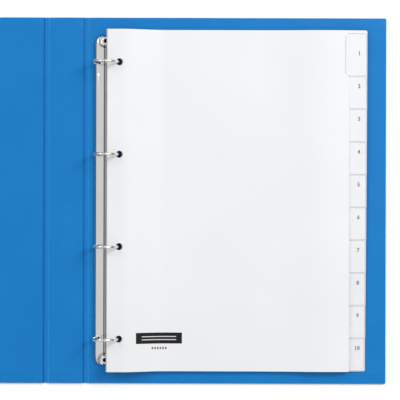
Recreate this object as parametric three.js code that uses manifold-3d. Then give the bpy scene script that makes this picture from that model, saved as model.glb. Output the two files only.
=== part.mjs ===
// A four-ring binder lying open, with ten tabbed dividers on its rings.
// Millimetres, +Z up, +X to the right of the open spread, +Y towards its top edge.
// The origin is at the middle of the spread, on the surface that the cover lies on.
import * as THREE from 'three';
import { mergeVertices } from 'three/addons/utils/BufferGeometryUtils.js';
import Module from 'manifold-3d';

const wasm = await Module();
wasm.setup();

// ---- cover: three boards wrapped in foil ----
const COVER_END_MARGIN = 11.1; // past the sheets' top and bottom edges
const COVER_SIDE_MARGIN = 19.1; // past the tabs
const SPINE_WIDTH = 30.4;
const GROOVE_WIDTH = 4.2; // bare foil between two panels
const PANEL_THICKNESS = 2.5;
const CORNER_RADIUS = 1.2;
const OUTER_FOIL = 0.3;
const TURN_IN = 13; // width of outer foil folded over the top and bottom edges
const SIDE_TURN_IN = 6;
const LINER_THICKNESS = 0.2;
const LINER_SETBACK = 8; // from the top and bottom edges
const LINER_SIDE_SETBACK = 1;
const STRIP_THICKNESS = 0.5;
const STRIP_HEIGHT = 0.35; // of the groove foil's underside
const FOIL_GAP = 0.1; // between wrapped pieces

// ---- ring mechanism ----
const MECHANISM_X = 34.6; // its centre line
const HOUSING_END_REACH = 22.8; // from the outer ring to the housing's end
const HOUSING_WIDTH = 19.8;
const HOUSING_HEIGHT = 5.5; // above the back panel
const HOUSING_WALL = 0.8;
const HOUSING_ARCH = 2.8; // exponent of the arched section
const BEAD_WIDTH = 2.1; // raised line along the crest
const BEAD_HEIGHT = 0.3;
const END_CORNER_X = 4.9; // rounding of the housing's ends
const END_CORNER_Y = 8.2;
const LIP_WIDTH = 1.3; // rolled edge that the hinge plates rest on
const LIP_HEIGHT = 0.8;
const DISH_RADIUS = 6.6; // pressed round the rivet
const DISH_FLOOR_RADIUS = 4.6;
const DISH_FLOOR_HEIGHT = 1.6; // underside above the back panel
const RIVET_INSET = 3.8; // from the housing's end
const RIVET_RADIUS = 2.4;
const RIVET_FLANGE_RADIUS = 3.3;
const RIVET_FLANGE_THICKNESS = 0.8;
const RIVET_BORE_RADIUS = 1.8;
const RIVET_HEAD_RADIUS = 4.5;
const RIVET_HEAD_THICKNESS = 0.8;
const RIVET_CLEARANCE = 0.3;
const ROUND_SIDES = 16;
const OUTER_ARCH_STEPS = 14;
const INNER_ARCH_STEPS = 10;
const MECHANISM_GAP = 0.15; // between the housing and the liner

// ---- rings ----
const RING_PITCH = 80; // filing hole spacing
const RING_COUNT = 4;
const RING_RADIUS = 11.05; // to the middle of the wire
const WIRE_RADIUS = 1.4;
const RING_ENTRY_DEPTH = 0.26; // under the housing's crest
const TIP_GAP = 0.3; // where two closed halves meet
const RING_ENTRY_INSET = 3.3; // from the housing's side to where the wire bends down
const FOOT_BEND_RADIUS = 2.2;
const FOOT_HEAD_RADIUS = 2.1;
const FOOT_HEAD_THICKNESS = 0.7;
const SLOT_INNER_GAP = 1.1; // foot slots in the housing, past the wire
const SLOT_OUTER_GAP = 0.9;
const SLOT_SIDE_GAP = 0.45;
const WIRE_FACETS = 5; // on half of the wire's round
const ARC_STEP = Math.PI / 13; // one facet of the wire
const POINTS_PER_FACET = 4;
const FOOT_FACETS = 4;
const BEND_POINTS = 3;
const HEAD_SIDES = 12;

// ---- hinge plates ----
const PLATE_THICKNESS = 1;
const PLATE_RISE = 1.5; // underside above the back panel
const PLATE_SIDE_CLEARANCE = 0.9; // from its edge, on the axis it turns about, to the housing's wall
const PLATE_INNER_GAP = 0.5;
const PLATE_END_CLEARANCE = 4; // from the dished ends
const PLATE_HOLE_CLEARANCE = 0.3;

// ---- dividers ----
const SHEET_WIDTH = 210;
const SHEET_HEIGHT = 297;
const SHEET_THICKNESS = 0.18;
const SHEET_PITCH = 0.42; // from one sheet to the next in the stack
const DIVIDER_COUNT = 10;
const HOLE_RADIUS = 3.1;
const HOLE_INSET = 10.5; // hole centre to the filed edge
const HOLE_CLEARANCE = 0.15; // between the wire and the hole
const STACK_CLEARANCE = 0.3; // under the lowest sheet
const TOP_SHEET_DROP = 0.6; // from the rings' axis down to the top sheet's filed edge
const LIFT_START = 15.5; // from the mechanism's centre line
const LIFT_RUN = 36;
const WAVE_HEIGHT = 3; // a low wave near the tabs
const WAVE_INSET = 20; // from the sheet's width to the wave's crest
const WAVE_SPREAD = 28;
const TAB_LENGTH = 40.3;
const TAB_DEPTH = 15.6;
const TAB_CORNER = 1.5;
const FILM_THICKNESS = 0.08;
const FILM_GAP = 0.04;
const FILM_OVERLAP = 3.7; // onto the body of the sheet
const FILM_CORNER = 3.6;
const FILM_END_SETBACK = 2.4; // at the tab's upper end
const FILM_EDGE_SETBACK = 0.3;
const FLAT_STEP = 25; // facets along flat stretches
const CURVE_STEP = 6; // facets along lifted stretches
const SHORTEST_STEP = 1;
const HOLE_SIDES = 14;
const CORNER_FACETS = 2; // on half of a rounded corner

// ---- worked out from the sizes above ----
const SIDES = { left: -1, right: 1 };
const PANEL_INNER_X = SPINE_WIDTH / 2 + GROOVE_WIDTH;
const WAVE_X = SHEET_WIDTH - WAVE_INSET; // from the mechanism's centre line
const PANEL_OUTER_X = MECHANISM_X + SHEET_WIDTH + TAB_DEPTH + COVER_SIDE_MARGIN;
const COVER_HEIGHT = SHEET_HEIGHT + 2 * COVER_END_MARGIN;
const TURN_IN_TOP = PANEL_THICKNESS - LINER_THICKNESS - FOIL_GAP;
const BOARD_THICKNESS = TURN_IN_TOP - 2 * (OUTER_FOIL + FOIL_GAP);
const HOUSING_LENGTH = (RING_COUNT - 1) * RING_PITCH + 2 * HOUSING_END_REACH;
const RIVET_PITCH = HOUSING_LENGTH - 2 * RIVET_INSET;
const HOUSING_BASE_Z = PANEL_THICKNESS + MECHANISM_GAP;
const RING_ENTRY_X = HOUSING_WIDTH / 2 - RING_ENTRY_INSET;
const RING_ENTRY_DROP = Math.sqrt(RING_RADIUS ** 2 - RING_ENTRY_X ** 2);
const RING_AXIS_Z = PANEL_THICKNESS + HOUSING_HEIGHT - RING_ENTRY_DEPTH + RING_ENTRY_DROP;
const PLATE_OUTER_X = HOUSING_WIDTH / 2 - HOUSING_WALL - PLATE_SIDE_CLEARANCE;
const PLATE_Z = PANEL_THICKNESS + PLATE_RISE;
const DISH_FLOOR_Z = PANEL_THICKNESS + DISH_FLOOR_HEIGHT;
const FOOT_HEAD_TOP_Z = PLATE_Z - PLATE_HOLE_CLEARANCE;
const ENTRY_ANGLE = Math.PI - Math.asin(RING_ENTRY_X / RING_RADIUS);
const FOOT_BEND = ENTRY_ANGLE - Math.PI / 2; // how far the wire turns to stand upright
const BEND_CENTRE_X = RING_ENTRY_X + FOOT_BEND_RADIUS * Math.cos(FOOT_BEND);
const FOOT_X = BEND_CENTRE_X - FOOT_BEND_RADIUS;
const SLOT_INNER_X = FOOT_X - WIRE_RADIUS - SLOT_INNER_GAP;
const SLOT_OUTER_X = RING_ENTRY_X + WIRE_RADIUS + SLOT_OUTER_GAP;
const RING_YS = [...Array(RING_COUNT).keys()].map((i) => ((RING_COUNT - 1) / 2 - i) * RING_PITCH);
const TOP_SHEET_BASE = PANEL_THICKNESS + STACK_CLEARANCE + (DIVIDER_COUNT - 1) * SHEET_PITCH;
// How far the rings hold the filed edge up.
const RING_LIFT = RING_AXIS_Z - TOP_SHEET_DROP - TOP_SHEET_BASE;
const FAR = 1000; // larger than the whole object
const PAST = 1; // how far a cutting piece runs past what it cuts

const foil = { color: 0x2480c8, roughness: 0.38, metalness: 0 };
const liner = { color: 0x2b88cc, roughness: 0.42, metalness: 0 };
const greyboard = { color: 0x8c8577, roughness: 0.95, metalness: 0 };
const nickel = { color: 0xcfcac4, roughness: 0.18, metalness: 1 };
const plastic = { color: 0xeceef0, roughness: 0.45, metalness: 0 };
const clearFilm = { color: 0xf6f8fb, roughness: 0.1, metalness: 0, transparent: true, opacity: 0.4 };

const part = new THREE.Group();

// ---- solids ----
function solid(geometry) {
  const bare = geometry.clone();
  bare.deleteAttribute('normal');
  bare.deleteAttribute('uv');
  const merged = mergeVertices(bare, 1e-4);
  return new wasm.Manifold(
    new wasm.Mesh({
      numProp: 3,
      vertProperties: new Float32Array(merged.attributes.position.array),
      triVerts: new Uint32Array(merged.index.array),
    }),
  );
}

function geometryOf(made) {
  const mesh = made.getMesh();
  const geometry = new THREE.BufferGeometry();
  geometry.setAttribute('position', new THREE.BufferAttribute(mesh.vertProperties, 3));
  geometry.setIndex(new THREE.BufferAttribute(mesh.triVerts, 1));
  geometry.computeVertexNormals();
  return geometry;
}

function add(name, made, finish) {
  const mesh = new THREE.Mesh(geometryOf(made), new THREE.MeshStandardMaterial(finish));
  mesh.name = name;
  part.add(mesh);
}

// A flat outline in X and Y, raised from one height to another. Its ends are set, not added up, so
// that two slabs of one height are level to the last bit.
function slab(outline, lowZ, highZ) {
  const settings = { depth: 1, bevelEnabled: false, curveSegments: CORNER_FACETS };
  const geometry = new THREE.ExtrudeGeometry(outline, settings);
  const { position } = geometry.attributes;
  for (let i = 0; i < position.count; i += 1) {
    position.setZ(i, position.getZ(i) > 0.5 ? highZ : lowZ);
  }
  return solid(geometry);
}

// A section in X and Z, drawn out along Y.
function beam(points, lowY, highY) {
  const section = new THREE.Shape(points.map(([x, z]) => new THREE.Vector2(x, z)));
  const geometry = new THREE.ExtrudeGeometry(section, { depth: 1, bevelEnabled: false });
  const { position } = geometry.attributes;
  for (let i = 0; i < position.count; i += 1) {
    const [x, z, end] = [position.getX(i), position.getY(i), position.getZ(i)];
    position.setXYZ(i, x, end > 0.5 ? lowY : highY, z);
  }
  return solid(geometry);
}

function box(lowX, highX, lowY, highY, lowZ, highZ) {
  return slab(roundedRectangle(lowX, highX, lowY, highY, {}), lowZ, highZ);
}

function disc(x, y, radius, lowZ, highZ, sides = ROUND_SIDES) {
  const geometry = new THREE.CylinderGeometry(radius, radius, highZ - lowZ, sides);
  return solid(geometry.rotateX(Math.PI / 2).translate(x, y, (lowZ + highZ) / 2));
}

// A profile of radius and height, turned about a vertical axis.
function turned(profile, x, y) {
  const points = profile.map(([radius, z]) => new THREE.Vector2(radius, z));
  return solid(new THREE.LatheGeometry(points, ROUND_SIDES).rotateX(Math.PI / 2).translate(x, y, 0));
}

// A rectangle whose four corners may each be rounded.
function roundedRectangle(lowX, highX, lowY, highY, corners) {
  const { lowLow = 0, highLow = 0, highHigh = 0, lowHigh = 0 } = corners;
  const shape = new THREE.Shape();
  shape.moveTo(lowX + lowLow, lowY);
  shape.lineTo(highX - highLow, lowY);
  if (highLow) shape.absarc(highX - highLow, lowY + highLow, highLow, -Math.PI / 2, 0);
  shape.lineTo(highX, highY - highHigh);
  if (highHigh) shape.absarc(highX - highHigh, highY - highHigh, highHigh, 0, Math.PI / 2);
  shape.lineTo(lowX + lowHigh, highY);
  if (lowHigh) shape.absarc(lowX + lowHigh, highY - lowHigh, lowHigh, Math.PI / 2, Math.PI);
  shape.lineTo(lowX, lowY + lowLow);
  if (lowLow) shape.absarc(lowX + lowLow, lowY + lowLow, lowLow, Math.PI, 1.5 * Math.PI);
  return shape;
}

// ---- cover ----
function rivetHoles(radius) {
  return [1, -1]
    .map((end) => disc(MECHANISM_X, (end * RIVET_PITCH) / 2, radius, -PAST, PANEL_THICKNESS + PAST))
    .reduce((all, hole) => all.add(hole));
}

// A panel's outline, set back from its edges, with the free corners rounded.
function panelOutline(lowX, highX, setback, corners) {
  const edgeY = COVER_HEIGHT / 2 - setback;
  const radius = CORNER_RADIUS - setback;
  const rounding = Object.fromEntries(corners.map((corner) => [corner, radius]));
  return roundedRectangle(lowX + setback, highX - setback, -edgeY, edgeY, rounding);
}

// One board with its outer foil and its liner, between two places along X.
function panel(name, lowX, highX, corners, riveted) {
  const edgeY = COVER_HEIGHT / 2;
  const foldZ = TURN_IN_TOP - OUTER_FOIL;
  const hollow = slab(panelOutline(lowX, highX, OUTER_FOIL, corners), OUTER_FOIL, foldZ);
  const [openLow, openHigh, openY] = [lowX + SIDE_TURN_IN, highX - SIDE_TURN_IN, edgeY - TURN_IN];
  const opening = box(openLow, openHigh, -openY, openY, PANEL_THICKNESS / 2, 2 * PANEL_THICKNESS);
  let cover = slab(panelOutline(lowX, highX, 0, corners), 0, TURN_IN_TOP);
  cover = cover.subtract(hollow).subtract(opening);
  const boardZ = OUTER_FOIL + FOIL_GAP;
  const boardOutline = panelOutline(lowX, highX, OUTER_FOIL + FOIL_GAP, corners);
  let board = slab(boardOutline, boardZ, boardZ + BOARD_THICKNESS);
  const linerEdgeY = edgeY - LINER_SETBACK;
  let lining = box(
    lowX + LINER_SIDE_SETBACK,
    highX - LINER_SIDE_SETBACK,
    -linerEdgeY,
    linerEdgeY,
    PANEL_THICKNESS - LINER_THICKNESS,
    PANEL_THICKNESS,
  );
  if (riveted) {
    const shank = rivetHoles(RIVET_RADIUS + RIVET_CLEARANCE);
    const head = rivetHoles(RIVET_HEAD_RADIUS + RIVET_CLEARANCE).subtract(
      box(-FAR, FAR, -FAR, FAR, RIVET_HEAD_THICKNESS + RIVET_CLEARANCE, FAR),
    );
    cover = cover.subtract(head);
    board = board.subtract(shank).subtract(head);
    lining = lining.subtract(shank);
  }
  add(`${name}_outer_cover`, cover, foil);
  add(`${name}_board`, board, greyboard);
  add(`${name}_inner_liner`, lining, liner);
}

// The welded foil in a groove, which bends when the cover folds.
function hingeStrip(name, centreX) {
  const half = GROOVE_WIDTH / 2 - FOIL_GAP;
  const edgeY = COVER_HEIGHT / 2;
  const top = STRIP_HEIGHT + STRIP_THICKNESS;
  add(name, box(centreX - half, centreX + half, -edgeY, edgeY, STRIP_HEIGHT, top), foil);
}

// ---- ring mechanism ----
// Height of the housing's arched section above its base, at a distance from its centre line.
function archHeight(distance, halfWidth, height) {
  const share = Math.min(1, Math.abs(distance) / halfWidth);
  return height * (1 - share ** HOUSING_ARCH) ** (1 / HOUSING_ARCH);
}

// The arch's outline from one edge to the other, closest together at the shoulders.
function archPoints(halfWidth, height, steps) {
  return [...Array(steps + 1).keys()].map((i) => {
    const distance = -halfWidth * Math.cos((Math.PI * i) / steps);
    return [MECHANISM_X + distance, HOUSING_BASE_Z + archHeight(distance, halfWidth, height)];
  });
}

function housingPlan() {
  const halfWidth = HOUSING_WIDTH / 2;
  const halfLength = HOUSING_LENGTH / 2;
  const [cornerX, cornerY] = [halfWidth - END_CORNER_X, halfLength - END_CORNER_Y];
  const plan = new THREE.Shape();
  plan.absellipse(cornerX, cornerY, END_CORNER_X, END_CORNER_Y, 0, Math.PI / 2);
  plan.absellipse(-cornerX, cornerY, END_CORNER_X, END_CORNER_Y, Math.PI / 2, Math.PI);
  plan.absellipse(-cornerX, -cornerY, END_CORNER_X, END_CORNER_Y, Math.PI, 1.5 * Math.PI);
  plan.absellipse(cornerX, -cornerY, END_CORNER_X, END_CORNER_Y, 1.5 * Math.PI, 2 * Math.PI);
  return slab(plan, 0, RING_AXIS_Z).translate([MECHANISM_X, 0, 0]);
}

function dish(endY) {
  const rim = HOUSING_BASE_Z + HOUSING_HEIGHT + PAST;
  const bottom = DISH_FLOOR_Z;
  const top = bottom + HOUSING_WALL;
  return turned(
    [
      [0, bottom],
      [DISH_FLOOR_RADIUS + HOUSING_WALL, bottom],
      [DISH_RADIUS + HOUSING_WALL, rim],
      [DISH_RADIUS, rim],
      [DISH_FLOOR_RADIUS, top],
      [0, top],
    ],
    MECHANISM_X,
    endY,
  );
}

function ringHousing() {
  const halfWidth = HOUSING_WIDTH / 2;
  const halfLength = HOUSING_LENGTH / 2;
  const height = HOUSING_HEIGHT - MECHANISM_GAP;
  const outer = archPoints(halfWidth, height, OUTER_ARCH_STEPS);
  const inner = archPoints(halfWidth - HOUSING_WALL, height - HOUSING_WALL, INNER_ARCH_STEPS).reverse();
  const filled = beam(outer, -halfLength, halfLength);
  let shell = beam([...outer, ...inner], -halfLength, halfLength);
  for (const side of [-1, 1]) {
    const wallX = MECHANISM_X + side * (halfWidth - HOUSING_WALL / 2);
    const lipX = wallX - side * LIP_WIDTH;
    const lipTop = HOUSING_BASE_Z + LIP_HEIGHT;
    const [lowX, highX] = [Math.min(wallX, lipX), Math.max(wallX, lipX)];
    shell = shell.add(box(lowX, highX, -halfLength, halfLength, HOUSING_BASE_Z, lipTop));
  }
  for (const end of [1, -1]) {
    const endY = (end * RIVET_PITCH) / 2;
    shell = shell.subtract(disc(MECHANISM_X, endY, DISH_RADIUS, HOUSING_BASE_Z - PAST, RING_AXIS_Z));
    shell = shell.add(dish(endY).intersect(filled));
    shell = shell.subtract(disc(MECHANISM_X, endY, RIVET_RADIUS + RIVET_CLEARANCE, 0, RING_AXIS_Z));
  }
  const crest = HOUSING_BASE_Z + height;
  const beadEnd = RIVET_PITCH / 2 - DISH_RADIUS - HOUSING_WALL;
  const [beadLow, beadHigh] = [MECHANISM_X - BEAD_WIDTH / 2, MECHANISM_X + BEAD_WIDTH / 2];
  const beadZ = crest - HOUSING_WALL / 2;
  shell = shell.add(box(beadLow, beadHigh, -beadEnd, beadEnd, beadZ, crest + BEAD_HEIGHT));
  shell = shell.intersect(housingPlan());
  const slotHalf = WIRE_RADIUS + SLOT_SIDE_GAP;
  const slotRadius = slotHalf - SLOT_SIDE_GAP / 4;
  const slotCorners = {
    lowLow: slotRadius,
    highLow: slotRadius,
    highHigh: slotRadius,
    lowHigh: slotRadius,
  };
  for (const y of RING_YS) {
    for (const side of [-1, 1]) {
      const [near, far] = [side * SLOT_INNER_X, side * SLOT_OUTER_X];
      const [lowX, highX] = [Math.min(near, far), Math.max(near, far)];
      const slot = roundedRectangle(lowX, highX, y - slotHalf, y + slotHalf, slotCorners);
      const cut = slab(slot, PLATE_Z + PLATE_THICKNESS, RING_AXIS_Z);
      shell = shell.subtract(cut.translate([MECHANISM_X, 0, 0]));
    }
  }
  return shell;
}

// One tube rivet: a rolled flange in the dish, a shank through the back panel and a flush head.
function rivet(endY) {
  const flangeZ = DISH_FLOOR_Z + HOUSING_WALL + FOIL_GAP;
  const flangeTop = flangeZ + RIVET_FLANGE_THICKNESS;
  return turned(
    [
      [0, FOIL_GAP],
      [RIVET_HEAD_RADIUS, FOIL_GAP],
      [RIVET_HEAD_RADIUS, RIVET_HEAD_THICKNESS],
      [RIVET_RADIUS, RIVET_HEAD_THICKNESS],
      [RIVET_RADIUS, flangeZ],
      [RIVET_FLANGE_RADIUS, flangeZ],
      [RIVET_FLANGE_RADIUS, flangeTop - RIVET_FLANGE_THICKNESS / 2],
      [RIVET_FLANGE_RADIUS - RIVET_FLANGE_THICKNESS / 2, flangeTop],
      [RIVET_BORE_RADIUS, flangeTop],
      [RIVET_BORE_RADIUS, RIVET_HEAD_THICKNESS],
      [0, RIVET_HEAD_THICKNESS],
    ],
    MECHANISM_X,
    endY,
  );
}

// Half a ring: an arc from the tip down to the housing, a bend and a foot through the plate.
function ringHalf(side, y) {
  const points = [];
  const place = (distance, height) =>
    new THREE.Vector3(MECHANISM_X + side * distance, y, RING_AXIS_Z + height);
  const tipAngle = TIP_GAP / 2 / RING_RADIUS;
  const arcFacets = Math.round((ENTRY_ANGLE - tipAngle) / ARC_STEP);
  const arcPoints = arcFacets * POINTS_PER_FACET;
  for (let i = 0; i <= arcPoints; i += 1) {
    const angle = tipAngle + ((ENTRY_ANGLE - tipAngle) * i) / arcPoints;
    points.push(place(RING_RADIUS * Math.sin(angle), RING_RADIUS * Math.cos(angle)));
  }
  const bendZ = RING_RADIUS * Math.cos(ENTRY_ANGLE) - FOOT_BEND_RADIUS * Math.sin(FOOT_BEND);
  for (let i = BEND_POINTS - 1; i >= 0; i -= 1) {
    const angle = (FOOT_BEND * i) / BEND_POINTS;
    const [across, up] = [FOOT_BEND_RADIUS * Math.cos(angle), FOOT_BEND_RADIUS * Math.sin(angle)];
    points.push(place(BEND_CENTRE_X - across, bendZ + up));
  }
  points.push(place(FOOT_X, FOOT_HEAD_TOP_Z - FOOT_HEAD_THICKNESS / 2 - RING_AXIS_Z));
  const path = new THREE.CatmullRomCurve3(points, false, 'centripetal');
  const section = new THREE.Shape();
  section.absarc(0, 0, WIRE_RADIUS, 0, 2 * Math.PI);
  const wire = solid(
    new THREE.ExtrudeGeometry(section, {
      extrudePath: path,
      steps: arcFacets + FOOT_FACETS,
      curveSegments: WIRE_FACETS,
      bevelEnabled: false,
    }),
  );
  const headX = MECHANISM_X + side * FOOT_X;
  const headZ = FOOT_HEAD_TOP_Z - FOOT_HEAD_THICKNESS;
  return wire.add(disc(headX, y, FOOT_HEAD_RADIUS, headZ, FOOT_HEAD_TOP_Z, HEAD_SIDES));
}

function hingePlate(side) {
  const [near, far] = [side * (PLATE_INNER_GAP / 2), side * PLATE_OUTER_X];
  const [lowX, highX] = [Math.min(near, far) + MECHANISM_X, Math.max(near, far) + MECHANISM_X];
  const endY = RIVET_PITCH / 2 - DISH_RADIUS - HOUSING_WALL - PLATE_END_CLEARANCE;
  let plate = box(lowX, highX, -endY, endY, PLATE_Z, PLATE_Z + PLATE_THICKNESS);
  const holeRadius = WIRE_RADIUS + PLATE_HOLE_CLEARANCE;
  for (const y of RING_YS) {
    plate = plate.subtract(disc(MECHANISM_X + side * FOOT_X, y, holeRadius, 0, RING_AXIS_Z));
  }
  return plate;
}

// ---- dividers ----
// How far the rings and the wave lift a sheet, at a distance from the mechanism's centre line.
function sheetLift(distance) {
  const share = THREE.MathUtils.smoothstep(distance, LIFT_START, LIFT_START + LIFT_RUN);
  const wave = WAVE_HEIGHT * Math.exp(-(((distance - WAVE_X) / WAVE_SPREAD) ** 2));
  return RING_LIFT * (1 - share) + wave;
}

function sheetBase(index) {
  const fromBottom = DIVIDER_COUNT - 1 - index;
  return PANEL_THICKNESS + STACK_CLEARANCE + fromBottom * SHEET_PITCH;
}

// Where a sheet's holes lie so that the ring, which slants through them, stays clear of their edge.
function holeDistance(index) {
  const drop = RING_AXIS_Z - sheetBase(index) - RING_LIFT;
  const wireX = Math.sqrt(RING_RADIUS ** 2 - drop ** 2);
  const slant = RING_RADIUS / wireX;
  const footprint = WIRE_RADIUS * slant + (SHEET_THICKNESS * drop) / wireX;
  return wireX + HOLE_RADIUS - footprint - HOLE_CLEARANCE;
}

// The places along X where a curved sheet has a crease.
function sheetStations(lowX, highX) {
  const stations = [lowX];
  const curveEnd = MECHANISM_X + LIFT_START + LIFT_RUN;
  const waveStart = MECHANISM_X + WAVE_X - 2 * WAVE_SPREAD;
  while (stations.at(-1) < highX) {
    const x = stations.at(-1);
    const curved = x < curveEnd || x >= waveStart;
    stations.push(Math.min(x + (curved ? CURVE_STEP : FLAT_STEP), highX));
  }
  if (stations.at(-1) - stations.at(-2) < SHORTEST_STEP) stations.splice(-2, 1);
  return stations;
}

// A thin layer that follows the stack's curve between two places along X.
function curvedLayer(index, offset, thickness, lowX, highX, origin) {
  const stations = sheetStations(origin, highX).filter((x) => x > lowX);
  const base = sheetBase(index) + offset;
  const lower = [lowX, ...stations].map((x) => [x, base + sheetLift(x - MECHANISM_X)]);
  const upper = lower.map(([x, z]) => [x, z + thickness]).reverse();
  return beam([...lower, ...upper], -SHEET_HEIGHT / 2, SHEET_HEIGHT / 2);
}

function tabSpan(index) {
  const pitch = (SHEET_HEIGHT - TAB_LENGTH) / (DIVIDER_COUNT - 1);
  const highY = SHEET_HEIGHT / 2 - index * pitch;
  return [highY - TAB_LENGTH, highY];
}

function divider(index) {
  const holeX = MECHANISM_X + holeDistance(index);
  const lowX = holeX - HOLE_INSET;
  const bodyX = lowX + SHEET_WIDTH;
  const tabX = bodyX + TAB_DEPTH;
  const halfY = SHEET_HEIGHT / 2;
  const [tabLow, tabHigh] = tabSpan(index);
  const corners = { highLow: TAB_CORNER, highHigh: TAB_CORNER };
  const body = box(lowX - PAST, bodyX, -halfY, halfY, 0, FAR);
  const tab = slab(roundedRectangle(bodyX - FILM_OVERLAP, tabX, tabLow, tabHigh, corners), 0, FAR);
  let sheet = curvedLayer(index, 0, SHEET_THICKNESS, lowX, tabX, lowX).intersect(body.add(tab));
  for (const y of RING_YS) {
    sheet = sheet.subtract(disc(holeX, y, HOLE_RADIUS, 0, FAR, HOLE_SIDES));
  }
  add(`divider_${index + 1}`, sheet, plastic);

  const filmLow = bodyX - FILM_OVERLAP;
  const filmHigh = tabX - FILM_EDGE_SETBACK;
  const filmCorners = { lowLow: FILM_CORNER, lowHigh: FILM_CORNER, ...corners };
  const filmOutline = roundedRectangle(
    filmLow,
    filmHigh,
    tabLow + FILM_EDGE_SETBACK,
    tabHigh - FILM_END_SETBACK,
    filmCorners,
  );
  const offset = SHEET_THICKNESS + FILM_GAP;
  const layer = curvedLayer(index, offset, FILM_THICKNESS, filmLow - PAST, tabX, lowX);
  add(`tab_film_${index + 1}`, layer.intersect(slab(filmOutline, 0, FAR)), clearFilm);
}

// ---- assembly ----
panel('back', PANEL_INNER_X, PANEL_OUTER_X, ['highLow', 'highHigh'], true);
panel('spine', -SPINE_WIDTH / 2, SPINE_WIDTH / 2, [], false);
panel('front', -PANEL_OUTER_X, -PANEL_INNER_X, ['lowLow', 'lowHigh'], false);
const grooveX = (SPINE_WIDTH + GROOVE_WIDTH) / 2;
hingeStrip('spine_hinge_strip', grooveX);
hingeStrip('front_hinge_strip', -grooveX);

add('ring_housing', ringHousing(), nickel);
add('top_rivet', rivet(RIVET_PITCH / 2), nickel);
add('bottom_rivet', rivet(-RIVET_PITCH / 2), nickel);
for (const [name, side] of Object.entries(SIDES)) {
  add(`${name}_hinge_plate`, hingePlate(side), nickel);
  RING_YS.forEach((y, i) => add(`ring_${name}_${i + 1}`, ringHalf(side, y), nickel));
}
for (let index = 0; index < DIVIDER_COUNT; index += 1) divider(index);

export default part;
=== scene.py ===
"""An open four-ring binder with ten tabbed dividers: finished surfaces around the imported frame.

Metres, +Z up, +X to the right of the open spread, +Y towards its top edge.
"""

import math

import bmesh
import bpy
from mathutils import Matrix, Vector


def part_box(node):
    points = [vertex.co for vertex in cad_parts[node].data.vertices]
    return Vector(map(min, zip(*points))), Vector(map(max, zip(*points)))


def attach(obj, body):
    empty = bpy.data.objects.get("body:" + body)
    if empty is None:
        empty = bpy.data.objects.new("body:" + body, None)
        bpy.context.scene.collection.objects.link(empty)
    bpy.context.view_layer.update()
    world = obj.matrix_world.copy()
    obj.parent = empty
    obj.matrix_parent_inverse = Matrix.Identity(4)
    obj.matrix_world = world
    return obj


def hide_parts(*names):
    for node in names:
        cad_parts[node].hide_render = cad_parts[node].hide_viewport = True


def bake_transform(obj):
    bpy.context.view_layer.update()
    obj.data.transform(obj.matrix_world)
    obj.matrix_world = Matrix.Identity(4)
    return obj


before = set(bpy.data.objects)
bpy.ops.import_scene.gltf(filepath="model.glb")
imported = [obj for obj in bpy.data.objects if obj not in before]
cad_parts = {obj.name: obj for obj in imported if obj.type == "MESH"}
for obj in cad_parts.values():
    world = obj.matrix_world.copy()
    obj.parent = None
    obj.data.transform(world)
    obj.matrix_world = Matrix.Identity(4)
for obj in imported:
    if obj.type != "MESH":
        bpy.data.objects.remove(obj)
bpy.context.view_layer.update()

MM = 0.001
CORNER_STEPS = 6  # on each rounded corner of a foil, sheet or film
PUNCH_SIDES = 40  # of round cutters and rivets

# ---- places read from the frame ----
BACK_LOW, BACK_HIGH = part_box("back_outer_cover")
SPINE_LOW, SPINE_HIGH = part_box("spine_outer_cover")
FRONT_LOW, FRONT_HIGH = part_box("front_outer_cover")
LINER_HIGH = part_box("back_inner_liner")[1]
HOUSING_LOW, HOUSING_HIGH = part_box("ring_housing")
RIVET_LOW, RIVET_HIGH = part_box("top_rivet")
PLATE_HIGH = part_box("right_hinge_plate")[1]
DIVIDER_COUNT = 10
SHEET_LOWS = [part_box(f"divider_{k + 1}")[0] for k in range(DIVIDER_COUNT)]
SHEET_HIGHS = [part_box(f"divider_{k + 1}")[1] for k in range(DIVIDER_COUNT)]
RING_COUNT = 4
RING_YS = [sum(corner.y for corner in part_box(f"ring_left_{k + 1}")) / 2 for k in range(RING_COUNT)]

# ---- cover ----
CORNER_RADIUS = 1.2 * MM
RIM_ROUND = 0.55 * MM
RIM_STEPS = 4
WRAP_FOIL = 0.3 * MM
FOLD_WIDTH = 10 * MM  # outer foil folded in over the board's edges
HEAD_SINK_RADIUS = 4.8 * MM  # round a rivet's flush head
HEAD_SINK_DEPTH = 1.1 * MM
GROOVE_FOIL = 0.5 * MM  # thickness of the welded foil
GROOVE_FLOOR = 0.6 * MM  # height of its middle layer in the middle of a groove
GROOVE_SHOULDER = 1.75 * MM  # its height where it meets the boards
GROOVE_FULLNESS = 6  # exponent of its section: a broad floor with steep sides
GROOVE_STEPS = 16
GROOVE_OVERLAP = 0.35 * MM  # past the groove, into the boards' edges
GROOVE_END_SETBACK = 0.05 * MM
GROOVE_LINE_OFFSET = 0.3 * MM  # of the painted shade line, past the board's edge

# ---- ring mechanism ----
MECHANISM_X = (HOUSING_LOW.x + HOUSING_HIGH.x) / 2
HALF_WIDTH = (HOUSING_HIGH.x - HOUSING_LOW.x) / 2
HALF_LENGTH = (HOUSING_HIGH.y - HOUSING_LOW.y) / 2
HOUSING_BASE = HOUSING_LOW.z
BEAD_HEIGHT = 0.3 * MM
BEAD_WIDTH = 2.1 * MM
BEAD_LEVEL = 0.6  # share of the bead's width that is level
BEAD_SIDE = 0.84  # share of its width from one side's middle to the other's
BEAD_END_GAP = 0.4 * MM  # to the dish
ARCH_HEIGHT = HOUSING_HIGH.z - HOUSING_BASE - BEAD_HEIGHT
ARCH_PROFILE = 0.61  # a flat crest with full shoulders
ARCH_STEPS = 22
HOUSING_WALL = 0.8 * MM
END_CORNER_X = 4.9 * MM
END_CORNER_Y = 8.2 * MM
RIVET_Y = (RIVET_LOW.y + RIVET_HIGH.y) / 2
DISH_RADIUS = 7.0 * MM
DISH_FLOOR_RADIUS = 4.4 * MM
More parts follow.
